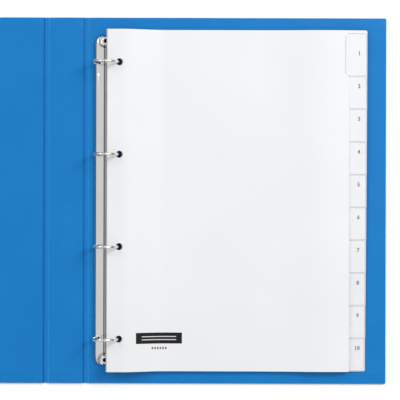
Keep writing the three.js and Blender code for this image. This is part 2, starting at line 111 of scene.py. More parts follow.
DISH_FLOOR = 4.9 * MM  # height of the dish's upper side
RIVET_HOLE_RADIUS = 2.7 * MM
CHANNEL_OFFSET = 6.3 * MM  # pressed line beside the end rings' feet
CHANNEL_WIDTH = 1.7 * MM
CHANNEL_DEPTH = 0.25 * MM
CHANNEL_REACH = 11 * MM
CHANNEL_RUN_OUT = 1.4 * MM  # over which it fades at each end
END_STEP = 0.5 * MM  # between creases where the housing's ends are shaped
END_CREASES = 27
LONG_STEP = 20 * MM  # between creases from the middle outwards
LONG_CREASES = 4
SLOT_SIDE_GAP = 0.45 * MM
SLOT_INNER = 3.25 * MM  # both ends of a foot slot, from the mechanism's centre line
SLOT_OUTER = 8.9 * MM
SLOT_CUT_HEIGHT = 6 * MM
RIVET_SHANK_RADIUS = 2.4 * MM
RIVET_FLANGE_RADIUS = 3.3 * MM
RIVET_BORE_RADIUS = 1.8 * MM
RIVET_BORE_FLOOR = 0.9 * MM
RIVET_HEAD_TOP = 0.8 * MM
RIVET_ROLL = 0.4 * MM  # radius of the flange's rolled edge
ROLL_STEPS = 8

# ---- rings ----
WIRE_RADIUS = 1.4 * MM
RING_RADIUS = 11.05 * MM
RING_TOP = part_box("ring_right_1")[1].z
RING_AXIS_Z = RING_TOP - WIRE_RADIUS - RING_RADIUS
RING_ENTRY = 6.6 * MM  # where the wire leaves its arc
FOOT_BEND_RADIUS = 2.2 * MM
FOOT_HEAD_RADIUS = 2.1 * MM
FOOT_HEAD_THICKNESS = 0.7 * MM
TIP_GAP = 0.3 * MM
TIP_ROUND = 0.45 * MM
TIP_STEPS = 4
WIRE_SIDES = 24
ARC_STEPS = 44
BEND_STEPS = 8

# ---- dividers ----
SHEET_HEIGHT = 297 * MM
SHEET_THICKNESS = 0.18 * MM
SHEET_PITCH = 0.42 * MM
STACK_CLEARANCE = 0.3 * MM
HOLE_RADIUS = 3.1 * MM
HOLE_INSET = 10.5 * MM
TOP_SHEET_DROP = 0.6 * MM  # from the rings' axis to the top sheet's filed edge
LIFT_START = 15.5 * MM  # from the mechanism's centre line
LIFT_RUN = 36 * MM
WAVE_HEIGHT = 3 * MM
WAVE_X = 190 * MM  # from the mechanism's centre line
WAVE_SPREAD = 28 * MM
TAB_LENGTH = 40.3 * MM
TAB_DEPTH = 15.6 * MM
TAB_CORNER = 1.5 * MM
FILM_THICKNESS = 0.08 * MM
FILM_GAP = 0.04 * MM
FILM_OVERLAP = 3.7 * MM
FILM_CORNER = 3.6 * MM
FILM_END_SETBACK = 2.4 * MM
FILM_EDGE_SETBACK = 0.3 * MM
FILM_RIM = 0.7 * MM
CURVE_STEP = 3 * MM  # between creases where a sheet is curved
CREASE_EDGE_GAP = 0.5 * MM  # no crease nearer than this to a piece's edge
NUMBER_SIZE = 4.8 * MM
NUMBER_WEIGHT = 0.17 * MM
NUMBER_INSET = 6.9 * MM  # from the tab's outer edge to the number's middle
PRINT_THICKNESS = 0.012 * MM
PRINT_GAP = 0.006 * MM
BLOCK_LOW = (61.8 * MM, -124.4 * MM)  # printed block on the first sheet
BLOCK_HIGH = (101.6 * MM, -114.8 * MM)
DASH_START = (75.3 * MM, -129.3 * MM)
DASH_COUNT = 6
DASH_PITCH = 2.3 * MM
DASH_WIDTH = 1.4 * MM
DASH_HEIGHT = 2.0 * MM
DASH_CORNER = 0.2 * MM
BLOCK_CORNER = 0.3 * MM
PALE_LINE_MARGIN = 5 * MM
PALE_LINE_WIDTH = 0.7 * MM
PALE_LINE_PLACES = (0.36, 0.64)  # as shares of the block's height

TOP_SHEET_BASE = LINER_HIGH.z + STACK_CLEARANCE + (DIVIDER_COUNT - 1) * SHEET_PITCH
RING_LIFT = RING_AXIS_Z - TOP_SHEET_DROP - TOP_SHEET_BASE

# ---- camera, floor and light ----
CAMERA_PLACE = (117.0 * MM, 0.6 * MM, 1474 * MM)
CAMERA_LENS = 151.7
CAMERA_TURN = math.radians(0.16)
CAMERA_CLIP = 20
FLOOR_SIZE = 6.0
FLOOR_DROP = 0.05 * MM
LIGHT_AIM = (116.7 * MM, 0, 0)
WARM_WHITE = (1.0, 0.985, 0.965)
COOL_WHITE = (0.965, 0.985, 1.0)
SOFTBOXES = (  # name, place, width, power in watts
    ("overhead_softbox", (0.95, 0.62, 2.1), 0.9, 6.4),
    ("right_softbox", (1.10, 0.75, 1.30), 0.55, 12.5),
    ("left_softbox", (-0.95, 0.85, 1.40), 0.5, 4.0),
)
WALL_TONE = (0.035, 0.032, 0.03)
WALL_TOP = 0.20  # sines of the heights between which the walls give way to the ceiling
CEILING_START = 0.46
CEILING_STRENGTH = 0.76


def set_camera():
    camera = bpy.data.objects.new("camera", bpy.data.cameras.new("camera"))
    bpy.context.scene.collection.objects.link(camera)
    camera.location = CAMERA_PLACE
    camera.rotation_euler = (0, 0, CAMERA_TURN)
    camera.data.lens = CAMERA_LENS
    camera.data.clip_end = CAMERA_CLIP
    bpy.context.scene.camera = camera


def soft_light(name, place, width, power):
    """A square softbox turned to the sheets."""
    light = bpy.data.lights.new(name, "AREA")
    light.shape = "RECTANGLE"
    light.size = light.size_y = width
    light.energy = power
    light.color = WARM_WHITE
    lamp = bpy.data.objects.new(name, light)
    bpy.context.scene.collection.objects.link(lamp)
    lamp.location = place
    lamp.rotation_euler = (Vector(LIGHT_AIM) - Vector(place)).to_track_quat("-Z", "Y").to_euler()


def set_stage():
    bpy.ops.mesh.primitive_plane_add(size=FLOOR_SIZE, location=(0, 0, -FLOOR_DROP))
    floor = bpy.context.object
    floor.name = "floor"
    bpy.ops.object.transform_apply(location=True, rotation=True, scale=True)
    floor.data.materials.append(floor_paint())
    for softbox in SOFTBOXES:
        soft_light(*softbox)
    set_surroundings()
    bpy.context.scene.view_settings.view_transform = "Standard"


def set_surroundings():
    """A pale ceiling over dark walls, which draw the dark lines on bright metal."""
    world = bpy.data.worlds.new("studio")
    bpy.context.scene.world = world
    world.use_nodes = True
    tree = world.node_tree
    sky = tree.nodes["Background"]
    sky.inputs["Strength"].default_value = CEILING_STRENGTH
    split = tree.nodes.new("ShaderNodeSeparateXYZ")
    tree.links.new(tree.nodes.new("ShaderNodeTexCoord").outputs["Generated"], split.inputs["Vector"])
    height = spread(tree, split.outputs["Z"], 0, 1, WALL_TOP, CEILING_START)
    tree.links.new(mixed(tree, height, WALL_TONE, COOL_WHITE), sky.inputs["Color"])


# ---- materials ----
def new_material(name):
    """A node material and its shader, with the object's own coordinates ready to use."""
    material = bpy.data.materials.new(name)
    material.use_nodes = True
    tree = material.node_tree
    shader = tree.nodes["Principled BSDF"]
    place = tree.nodes.new("ShaderNodeTexCoord").outputs["Object"]
    return material, tree, shader, place


def set_inputs(node, **values):
    for name, value in values.items():
        node.inputs[name.replace("_", " ")].default_value = value


def grain_group():
    """Fine surface grain and a slow mottle, both from 0 to 1."""
    group = bpy.data.node_groups.new("surface_grain", "ShaderNodeTree")
    sockets = group.interface
    sockets.new_socket(name="Place", in_out="INPUT", socket_type="NodeSocketVector")
    for name in ("Grain Scale", "Mottle Scale", "Roughness"):
        sockets.new_socket(name=name, in_out="INPUT", socket_type="NodeSocketFloat")
    for name in ("Grain", "Mottle"):
        sockets.new_socket(name=name, in_out="OUTPUT", socket_type="NodeSocketFloat")
    start = group.nodes.new("NodeGroupInput")
    end = group.nodes.new("NodeGroupOutput")
    for output, scale in (("Grain", "Grain Scale"), ("Mottle", "Mottle Scale")):
        noise = group.nodes.new("ShaderNodeTexNoise")
        noise.inputs["Detail"].default_value = 4
        group.links.new(start.outputs["Place"], noise.inputs["Vector"])
        group.links.new(start.outputs[scale], noise.inputs["Scale"])
        group.links.new(start.outputs["Roughness"], noise.inputs["Roughness"])
        group.links.new(noise.outputs["Fac"], end.inputs[output])
    return group


def scratch_group():
    """Hairline marks along Y: a mask from 0, clean, to 1, scratched."""
    group = bpy.data.node_groups.new("hairline_marks", "ShaderNodeTree")
    sockets = group.interface
    sockets.new_socket(name="Place", in_out="INPUT", socket_type="NodeSocketVector")
    sockets.new_socket(name="Scale", in_out="INPUT", socket_type="NodeSocketFloat")
    sockets.new_socket(name="Amount", in_out="INPUT", socket_type="NodeSocketFloat")
    sockets.new_socket(name="Marks", in_out="OUTPUT", socket_type="NodeSocketFloat")
    start = group.nodes.new("NodeGroupInput")
    end = group.nodes.new("NodeGroupOutput")
    stretch = group.nodes.new("ShaderNodeMapping")
    stretch.inputs["Scale"].default_value = (1, 0.03, 1)
    noise = group.nodes.new("ShaderNodeTexNoise")
    noise.inputs["Detail"].default_value = 5
    sharpen = group.nodes.new("ShaderNodeMapRange")
    sharpen.inputs["From Min"].default_value = 0.52
    sharpen.inputs["From Max"].default_value = 0.72
    group.links.new(start.outputs["Place"], stretch.inputs["Vector"])
    group.links.new(stretch.outputs["Vector"], noise.inputs["Vector"])
    group.links.new(start.outputs["Scale"], noise.inputs["Scale"])
    group.links.new(noise.outputs["Fac"], sharpen.inputs["Value"])
    group.links.new(start.outputs["Amount"], sharpen.inputs["To Max"])
    group.links.new(sharpen.outputs["Result"], end.inputs["Marks"])
    return group


GRAIN = grain_group()
MARKS = scratch_group()


def use_grain(tree, place, grain_scale, mottle_scale, roughness=0.5):
    node = tree.nodes.new("ShaderNodeGroup")
    node.node_tree = GRAIN
    tree.links.new(place, node.inputs["Place"])
    node.inputs["Grain Scale"].default_value = grain_scale
    node.inputs["Mottle Scale"].default_value = mottle_scale
    node.inputs["Roughness"].default_value = roughness
    return node.outputs["Grain"], node.outputs["Mottle"]


def use_marks(tree, place, scale, amount):
    node = tree.nodes.new("ShaderNodeGroup")
    node.node_tree = MARKS
    tree.links.new(place, node.inputs["Place"])
    node.inputs["Scale"].default_value = scale
    node.inputs["Amount"].default_value = amount
    return node.outputs["Marks"]


def spread(tree, value, low, high, from_low=0.3, from_high=0.7):
    """A value between two new ends."""
    node = tree.nodes.new("ShaderNodeMapRange")
    node.inputs["From Min"].default_value = from_low
    node.inputs["From Max"].default_value = from_high
    node.inputs["To Min"].default_value = low
    node.inputs["To Max"].default_value = high
    tree.links.new(value, node.inputs["Value"])
    return node.outputs["Result"]


def mixed(tree, factor, first, second, blend="MIX"):
    """Two colours mixed by a factor. Each is a colour or another node's output."""
    node = tree.nodes.new("ShaderNodeMix")
    node.data_type = "RGBA"
    node.blend_type = blend
    sockets = [s for s in node.inputs if s.enabled]
    for socket, value in zip(sockets, (factor, first, second)):
        if isinstance(value, bpy.types.NodeSocket):
            tree.links.new(value, socket)
        elif isinstance(value, tuple):
            socket.default_value = (*value, 1)
        else:
            socket.default_value = value
    return next(s for s in node.outputs if s.enabled)


def add_bump(tree, shader, height, depth, strength):
    node = tree.nodes.new("ShaderNodeBump")
    node.inputs["Distance"].default_value = depth
    node.inputs["Strength"].default_value = strength
    tree.links.new(height, node.inputs["Height"])
    tree.links.new(node.outputs["Normal"], shader.inputs["Normal"])


def with_lines(tree, place, colour, lines, core, reach):
    """Tint a colour along lines that run parallel to Y, strongest in a core and fading to their reach:
    lines of painted shade and painted highlight.
    """
    split = tree.nodes.new("ShaderNodeSeparateXYZ")
    tree.links.new(place, split.inputs["Vector"])
    for line_x, tint in lines:
        distance = tree.nodes.new("ShaderNodeMath")
        distance.operation = "SUBTRACT"
        distance.inputs[1].default_value = line_x
        tree.links.new(split.outputs["X"], distance.inputs[0])
        near = tree.nodes.new("ShaderNodeMath")
        near.operation = "ABSOLUTE"
        tree.links.new(distance.outputs["Value"], near.inputs[0])
        mask = spread(tree, near.outputs["Value"], 0.9, 0, core, reach)
        colour = mixed(tree, mask, colour, tint)
    return colour


def foil_paint(name, light, dark, roughness, grain_scale, bump, lines=()):
    """Embossed polypropylene foil, with painted shade and a painted highlight along given lines; the
    highlight is partly the foil's stretch whitening.
    """
    material, tree, shader, place = new_material(name)
    grain, mottle = use_grain(tree, place, grain_scale, 22, 0.6)
    colour = mixed(tree, spread(tree, mottle, 0, 1), dark, light)
    colour = with_lines(tree, place, colour, lines, 0.3 * MM, 1.1 * MM)
    tree.links.new(colour, shader.inputs["Base Color"])
    tree.links.new(spread(tree, grain, roughness - 0.06, roughness + 0.08), shader.inputs["Roughness"])
    add_bump(tree, shader, grain, 0.08 * MM, bump)
    set_inputs(shader, Specular_IOR_Level=0.16)
    return material


def nickel_paint(name, lines=()):
    """Bright nickel plate with a faint haze and hairline marks, and painted shade along the given lines.
    """
    material, tree, shader, place = new_material(name)
    grain, mottle = use_grain(tree, place, 900, 60)
    marks = use_marks(tree, place, 2400, 0.35)
    haze = spread(tree, mottle, 0, 1)
    colour = mixed(tree, haze, (0.84, 0.81, 0.785), (0.81, 0.78, 0.755))
    colour = mixed(tree, marks, colour, (0.72, 0.69, 0.665))
    colour = with_lines(tree, place, colour, lines, 0.4 * MM, 0.95 * MM)
    tree.links.new(colour, shader.inputs["Base Color"])
    tree.links.new(spread(tree, grain, 0.08, 0.14), shader.inputs["Roughness"])
    add_bump(tree, shader, marks, 0.01 * MM, 0.25)
    shader.inputs["Metallic"].default_value = 1
    return material


def sheet_paint():
    """Opaque white polypropylene with a fine matt face."""
    material, tree, shader, place = new_material("white_sheet")
    grain, mottle = use_grain(tree, place, 2200, 14)
    colour = mixed(tree, spread(tree, mottle, 0, 1), (0.765, 0.77, 0.78), (0.79, 0.795, 0.805))
    tree.links.new(colour, shader.inputs["Base Color"])
    tree.links.new(spread(tree, grain, 0.44, 0.58), shader.inputs["Roughness"])
    add_bump(tree, shader, grain, 0.04 * MM, 0.2)
    set_inputs(shader, Specular_IOR_Level=0.35)
    return material


def film_paint(name, tint, opacity):
    """Clear reinforcing film with slight ripples; in grey it is the painted shade on the films' rims."""
    material, tree, shader, place = new_material(name)
    grain, mottle = use_grain(tree, place, 420, 90)
    fade = spread(tree, mottle, 0, 1)
    paler = tuple(min(1, channel * 1.04) for channel in tint)
    tree.links.new(mixed(tree, fade, tint, paler), shader.inputs["Base Color"])
    tree.links.new(spread(tree, mottle, 0.08, 0.2), shader.inputs["Roughness"])
    add_bump(tree, shader, grain, 0.01 * MM, 0.12)
    shader.inputs["Alpha"].default_value = opacity
    return material


def ink_and_shade_paint(name, colour, rubbed):
    """Printing ink, a little rubbed; also used as the painted shade inside the rivets' bores."""
    material, tree, shader, place = new_material(name)
    grain, mottle = use_grain(tree, place, 3000, 400, 0.7)
    wear = spread(tree, mottle, 0, 0.25)
    tree.links.new(mixed(tree, wear, colour, rubbed), shader.inputs["Base Color"])
    tree.links.new(spread(tree, grain, 0.4, 0.6), shader.inputs["Roughness"])
    set_inputs(shader, Specular_IOR_Level=0.1)
    return material


def board_paint():
    """Grey chipboard with darker fibres."""
    material, tree, shader, place = new_material("chipboard")
    grain, mottle = use_grain(tree, place, 1400, 300, 0.75)
    base = mixed(tree, spread(tree, mottle, 0, 1), (0.26, 0.235, 0.20), (0.36, 0.33, 0.285))
    colour = mixed(tree, spread(tree, grain, 0, 0.6), base, (0.18, 0.16, 0.14))
    tree.links.new(colour, shader.inputs["Base Color"])
    tree.links.new(spread(tree, grain, 0.82, 0.97), shader.inputs["Roughness"])
    add_bump(tree, shader, grain, 0.1 * MM, 0.5)
    return material


def floor_paint():
    """The pale table under the binder."""
    material, tree, shader, place = new_material("pale_table")
    mottle = use_grain(tree, place, 300, 4)[1]
    colour = mixed(tree, mottle, (0.96, 0.96, 0.96), (0.98, 0.98, 0.98))
    tree.links.new(colour, shader.inputs["Base Color"])
    shader.inputs["Roughness"].default_value = 0.8
    set_inputs(shader, Specular_IOR_Level=0.1)
    return material


# ---- ways of working ----
def begin(name):
    """Name the new primitive, settle its place into its mesh and open it for editing."""
    part = bpy.context.object
    part.name = name
    part.data.name = name
    bpy.ops.object.transform_apply(location=True, rotation=True, scale=True)
    bpy.ops.object.mode_set(mode="EDIT")
    return part


def clear_selection():
    """Leave edit mode, if it is on, with nothing selected."""
    if bpy.context.mode != "OBJECT":
        bpy.ops.object.mode_set(mode="OBJECT")
    bpy.ops.object.select_all(action="DESELECT")


def make_current(part):
    clear_selection()
    part.select_set(True)
    bpy.context.view_layer.objects.active = part


def open_whole(part):
    """Open a part for editing with all of it selected."""
    make_current(part)
    bpy.ops.object.mode_set(mode="EDIT")
    bpy.ops.mesh.select_all(action="SELECT")


def block(name, low, high):
    clear_selection()
    middle = (Vector(low) + Vector(high)) / 2
    bpy.ops.mesh.primitive_cube_add(size=1, location=middle, scale=Vector(high) - Vector(low))
    return begin(name)


def flat(name, low_x, high_x, low_y, high_y, z=0.0):
    clear_selection()
    middle = ((low_x + high_x) / 2, (low_y + high_y) / 2, z)
    bpy.ops.mesh.primitive_plane_add(size=1, location=middle)
    bpy.context.object.scale = (high_x - low_x, high_y - low_y, 1)
    return begin(name)


def disc(name, place, radius, sides):
    clear_selection()
    bpy.ops.mesh.primitive_circle_add(vertices=sides, radius=radius, fill_type="NGON", location=place)
    return begin(name)


def pick(part, kind, test):
    """Select, in edit mode, the vertices, edges or faces that pass a test."""
    bpy.ops.mesh.select_mode(type=kind)
    bpy.ops.mesh.select_all(action="DESELECT")
    shape = bmesh.from_edit_mesh(part.data)
    lists = {"VERT": shape.verts, "EDGE": shape.edges, "FACE": shape.faces}
    for item in lists[kind]:
        item.select_set(bool(test(item)))
    shape.select_flush_mode()
    bmesh.update_edit_mesh(part.data)


def both_ends(edge, test):
    return all(test(vertex.co) for vertex in edge.verts)


def close_to(value, place):
    return abs(value - place) < 0.01 * MM


def cut_across(places, direction):
    """Cut the open mesh along planes square to a direction, all the way through."""
    for place in places:
        bpy.ops.mesh.select_all(action="SELECT")
        bpy.ops.mesh.bisect(plane_co=Vector(direction) * place, plane_no=direction, threshold=1e-7)


def modify(part, kind, **settings):
    make_current(part)
    modifier = part.modifiers.new(kind.lower(), kind)
    for name, value in settings.items():
        setattr(modifier, name, value)
    bpy.ops.object.modifier_apply(modifier=modifier.name)


def cut_away(part, tool):
    """Cut a tool's shape out of a part, and put the tool away."""
    modify(part, "BOOLEAN", object=tool, operation="DIFFERENCE", solver="MANIFOLD")
    bpy.data.objects.remove(tool)


def joined(parts):
    make_current(parts[0])
    for part in parts[1:]:
        part.select_set(True)
    bpy.ops.object.join()
    return bpy.context.object


def copy_of(part, name, move):
    """A copy with a mesh of its own, moved to its place."""
    copy = part.copy()
    copy.data = part.data.copy()
    copy.name = name
    copy.data.name = name
    bpy.context.scene.collection.objects.link(copy)
    for vertex in copy.data.vertices:
        vertex.co += Vector(move)
    return copy


def finish_part(part, body, paint, stands_for=(), angle=35):
    make_current(part)
    bpy.ops.object.shade_smooth_by_angle(angle=math.radians(angle))
    part.data.materials.clear()
    part.data.materials.append(paint)
    if body:
        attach(part, body)
    if stands_for:
        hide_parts(*stands_for)
    return part


def weld(part):
    """Merge the vertices that lie on each other."""
    open_whole(part)
    bpy.ops.mesh.remove_doubles(threshold=1e-7)
    bpy.ops.object.mode_set(mode="OBJECT")


def facing_out(part):
    open_whole(part)
    bpy.ops.mesh.normals_make_consistent(inside=False)
    bpy.ops.object.mode_set(mode="OBJECT")


# ---- cover ----
def foil_wrap(panel, body, low, high, free_x, paint):
    """The outer foil of one board, folded in over its edges, open under the liner."""
    part = block(f"{panel}_foil_wrap", low, high)
    if free_x is not None:
        pick(part, "EDGE", lambda e: both_ends(e, lambda co: close_to(co.x, free_x)) and upright(e))
        bpy.ops.mesh.bevel(offset=CORNER_RADIUS, segments=CORNER_STEPS, affect="EDGES")
    pick(part, "EDGE", lambda e: level_rim(e, low.z) or level_rim(e, high.z))
    bpy.ops.mesh.bevel(offset=RIM_ROUND, segments=RIM_STEPS, affect="EDGES")
    fold = Vector((FOLD_WIDTH, FOLD_WIDTH, 0))
    inner_low, inner_high = low + fold, high - fold
    cut_across((inner_low.x, inner_high.x), (1, 0, 0))
    cut_across((inner_low.y, inner_high.y), (0, 1, 0))
    pick(part, "FACE", lambda f: f.normal.z > 0.99 and inside(f, inner_low, inner_high))
    bpy.ops.mesh.delete(type="FACE")
    bpy.ops.object.mode_set(mode="OBJECT")
    modify(part, "SOLIDIFY", thickness=WRAP_FOIL, offset=-1, use_even_offset=True)
    if panel == "back":
        places = [(MECHANISM_X, end * RIVET_Y, -HEAD_SINK_DEPTH) for end in (-1, 1)]
        sinks = [punch(place, HEAD_SINK_RADIUS, 2 * HEAD_SINK_DEPTH, 48) for place in places]
        cut_away(part, joined(sinks))
    return finish_part(part, body, paint, [f"{panel}_outer_cover"])


def inside(face, low, high):
    middle = face.calc_center_median()
    return low.x < middle.x < high.x and low.y < middle.y < high.y


def upright(edge):
    start, end = (vertex.co for vertex in edge.verts)
    return abs(start.z - end.z) > 1 * MM


def level_rim(edge, z):
    """An edge between a level face and a side face at this height."""
    beside_side_face = any(abs(face.normal.z) < 0.5 for face in edge.link_faces)
    return beside_side_face and both_ends(edge, lambda co: close_to(co.z, z))


def groove_foil(name, node, paint):
    """The welded foil of one groove: it dips between two boards."""
    low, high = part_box(node)
    half = (high.x - low.x) / 2 + GROOVE_OVERLAP
    middle = (low.x + high.x) / 2
    edge_y = BACK_HIGH.y - GROOVE_END_SETBACK
    part = flat(name, middle - half, middle + half, -edge_y, edge_y, GROOVE_FLOOR)
    creases = [middle + half * (2 * k / GROOVE_STEPS - 1) for k in range(1, GROOVE_STEPS)]
    cut_across(creases, (1, 0, 0))
    bpy.ops.object.mode_set(mode="OBJECT")
    for vertex in part.data.vertices:
        away = abs(vertex.co.x - middle) / half
        vertex.co.z = GROOVE_FLOOR + (GROOVE_SHOULDER - GROOVE_FLOOR) * away**GROOVE_FULLNESS
    modify(part, "SOLIDIFY", thickness=GROOVE_FOIL, offset=0, use_even_offset=True)
    facing_out(part)
    finish_part(part, None, paint, [node], angle=60)
    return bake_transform(part)


# ---- ring mechanism ----
def eased(value, low, high):
    share = min(1, max(0, (value - low) / (high - low)))
    return share * share * (3 - 2 * share)


def pressed_housing(paint):
    """The arched housing with its crest bead, side channels, dished ends and foot slots."""
    part = block("pressed_housing", (-1, -1, 0), (1, 1, 1))
    pick(part, "EDGE", lambda e: both_ends(e, lambda co: co.z > 0.9) and not crosswise(e))
    bpy.ops.mesh.bevel(offset=1, segments=ARCH_STEPS, profile=ARCH_PROFILE, affect="EDGES")
    bpy.ops.mesh.select_all(action="SELECT")
    bpy.ops.mesh.remove_doubles(threshold=1e-4)
    pick(part, "FACE", lambda f: abs(f.normal.y) > 0.9 or f.normal.z < -0.9)
    bpy.ops.mesh.delete(type="FACE")
    bpy.ops.mesh.select_all(action="SELECT")
    bpy.ops.transform.resize(value=(HALF_WIDTH, HALF_LENGTH, ARCH_HEIGHT), center_override=(0, 0, 0))
    bpy.ops.transform.translate(value=(MECHANISM_X, 0, HOUSING_BASE))
    bead_shares = (-1, -0.82, -BEAD_LEVEL, BEAD_LEVEL, 0.82, 1)
    bead_lines = [share * BEAD_WIDTH / 2 for share in bead_shares]
    channel = [CHANNEL_OFFSET + share * CHANNEL_WIDTH / 2 for share in (-1, -0.6, 0.6, 1)]
    lines = bead_lines + channel + [-x for x in channel]
    cut_across([MECHANISM_X + x for x in sorted(lines)], (1, 0, 0))
    stations = [HALF_LENGTH - k * END_STEP for k in range(1, END_CREASES + 1)]
    stations += [k * LONG_STEP for k in range(LONG_CREASES + 1)]
    for share in (0, 0.5, 1):
        reach = CHANNEL_REACH - share * CHANNEL_RUN_OUT
        stations += [RING_YS[0] - reach, RING_YS[0] + reach]
    cut_across(sorted({y for y in stations} | {-y for y in stations}), (0, 1, 0))
    bpy.ops.object.mode_set(mode="OBJECT")
    for vertex in part.data.vertices:
        press(vertex)
    modify(part, "SOLIDIFY", thickness=HOUSING_WALL, offset=-1)
    openings = [foot_slot(side, y) for side in (-1, 1) for y in RING_YS]
    for end in (-1, 1):
        place = (MECHANISM_X, end * RIVET_Y, DISH_FLOOR - 2 * HOUSING_WALL)
        openings.append(punch(place, RIVET_HOLE_RADIUS, 4 * HOUSING_WALL))
    cut_away(part, joined(openings))
    return finish_part(part, "back_cover", paint, ["ring_housing"], angle=40)


def crosswise(edge):
    start, end = (vertex.co for vertex in edge.verts)
    return abs(start.x - end.x) > 0.5


def press(vertex):
    """Press the bead, the channels, the rounded plan and the dished ends into one point."""
    across, along = vertex.co.x - MECHANISM_X, abs(vertex.co.y)
    bead_end = RIVET_Y - DISH_RADIUS - BEAD_END_GAP
    if along < bead_end:
        vertex.co.z += BEAD_HEIGHT * (1 - eased(abs(across), BEAD_LEVEL * BEAD_WIDTH / 2, BEAD_WIDTH / 2))
    beside = abs(abs(across) - CHANNEL_OFFSET)
    from_ring = abs(along - RING_YS[0])
    channel = 1 - eased(beside, 0.55 * CHANNEL_WIDTH / 2, CHANNEL_WIDTH / 2)
    run_out = 1 - eased(from_ring, CHANNEL_REACH - CHANNEL_RUN_OUT, CHANNEL_REACH)
    vertex.co.z -= CHANNEL_DEPTH * channel * run_out
    into_corner = max(0, along - (HALF_LENGTH - END_CORNER_Y)) / END_CORNER_Y
    narrowed = HALF_WIDTH - END_CORNER_X * (1 - math.sqrt(max(0, 1 - into_corner**2)))
    across *= narrowed / HALF_WIDTH
    vertex.co.x = MECHANISM_X + across
    from_rivet = math.hypot(across, along - RIVET_Y)
    rim = max(0, vertex.co.z - DISH_FLOOR)
    vertex.co.z -= rim * (1 - eased(from_rivet, DISH_FLOOR_RADIUS, DISH_RADIUS))


def punch(place, radius, height, sides=PUNCH_SIDES):
    """A round cutter standing on a place."""
    cutter = disc("punch", place, radius, sides)
    bpy.ops.object.mode_set(mode="OBJECT")
    modify(cutter, "SOLIDIFY", thickness=height, offset=1)
    return cutter


def foot_slot(side, y):
    """A cutter for the slot that one ring's foot swings in."""
    half = WIRE_RADIUS + SLOT_SIDE_GAP
    low_x, high_x = sorted((MECHANISM_X + side * SLOT_INNER, MECHANISM_X + side * SLOT_OUTER))
    cutter = flat("slot_cutter", low_x, high_x, y - half, y + half, PLATE_HIGH.z + 0.2 * MM)
    bpy.ops.mesh.select_all(action="SELECT")
    bpy.ops.mesh.bevel(offset=half * 0.95, segments=8, affect="VERTICES")
    bpy.ops.object.mode_set(mode="OBJECT")
    modify(cutter, "SOLIDIFY", thickness=SLOT_CUT_HEIGHT, offset=1)
    return cutter


def turn_up(part, profile, centre):
    """Raise a disc ring by ring through a profile of radius and height."""
    bpy.ops.mesh.select_all(action="SELECT")
    radius, height = profile[0]
    for next_radius, next_height in profile[1:]:
        bpy.ops.mesh.extrude_region_move(TRANSFORM_OT_translate={"value": (0, 0, next_height - height)})
        share = next_radius / radius
        bpy.ops.transform.resize(value=(share, share, 1), center_override=(*centre, 0))
        radius, height = next_radius, next_height
    bpy.ops.object.mode_set(mode="OBJECT")
    facing_out(part)


def rivet_profile():
    """Radius and height from the foot, up round the flange and down into the bore."""
    head = (RIVET_HIGH.x - RIVET_LOW.x) / 2
    shank, flange, bore = RIVET_SHANK_RADIUS, RIVET_FLANGE_RADIUS, RIVET_BORE_RADIUS
    foot, top = RIVET_LOW.z, RIVET_HIGH.z
    under_flange = top - 2 * RIVET_ROLL
    profile = [(head - 0.5 * MM, foot), (head - 0.15 * MM, foot + 0.08 * MM), (head, foot + 0.25 * MM)]
    profile += [(head, RIVET_HEAD_TOP), (shank, RIVET_HEAD_TOP)]
    profile += [(shank, under_flange), (flange - RIVET_ROLL, under_flange)]
    middle = (flange + bore) / 2 + 0.05 * MM
    reach = flange - middle
    for k in range(1, ROLL_STEPS + 1):
        angle = math.pi * (k / ROLL_STEPS - 0.5)
        profile.append((middle + reach * math.cos(angle), top - RIVET_ROLL + RIVET_ROLL * math.sin(angle)))
    profile += [(bore + 0.15 * MM, top - 0.06 * MM), (bore, top - 0.3 * MM)]
    profile += [(bore, RIVET_BORE_FLOOR + 0.3 * MM), (bore * 0.6, RIVET_BORE_FLOOR + 0.05 * MM)]
    profile.append((bore * 0.1, RIVET_BORE_FLOOR))
    return profile


def tube_rivet(name, node, end, paint, bore_shade_paint):
    """A rivet with a domed flush head, a shank and a rolled flange round its bore, with painted shade
    inside the bore.
    """
    centre = (MECHANISM_X, end * RIVET_Y)
    profile = rivet_profile()
    part = disc(name, (*centre, RIVET_LOW.z), profile[0][0], PUNCH_SIDES)
    turn_up(part, profile, centre)
    finish_part(part, "back_cover", paint, [node], angle=50)
    part.data.materials.append(bore_shade_paint)
    # Paint the bore's walls and floor dark: painted shade, where the deep bore would be dark.
    bore_low, bore_high = RIVET_BORE_FLOOR - 0.05 * MM, RIVET_HIGH.z - RIVET_ROLL
    for face in part.data.polygons:
        from_axis = math.hypot(face.center.x - centre[0], face.center.y - centre[1])
        in_bore = from_axis < RIVET_BORE_RADIUS + 0.02 * MM and bore_low < face.center.z < bore_high
        face.material_index = 1 if in_bore else 0
    return part


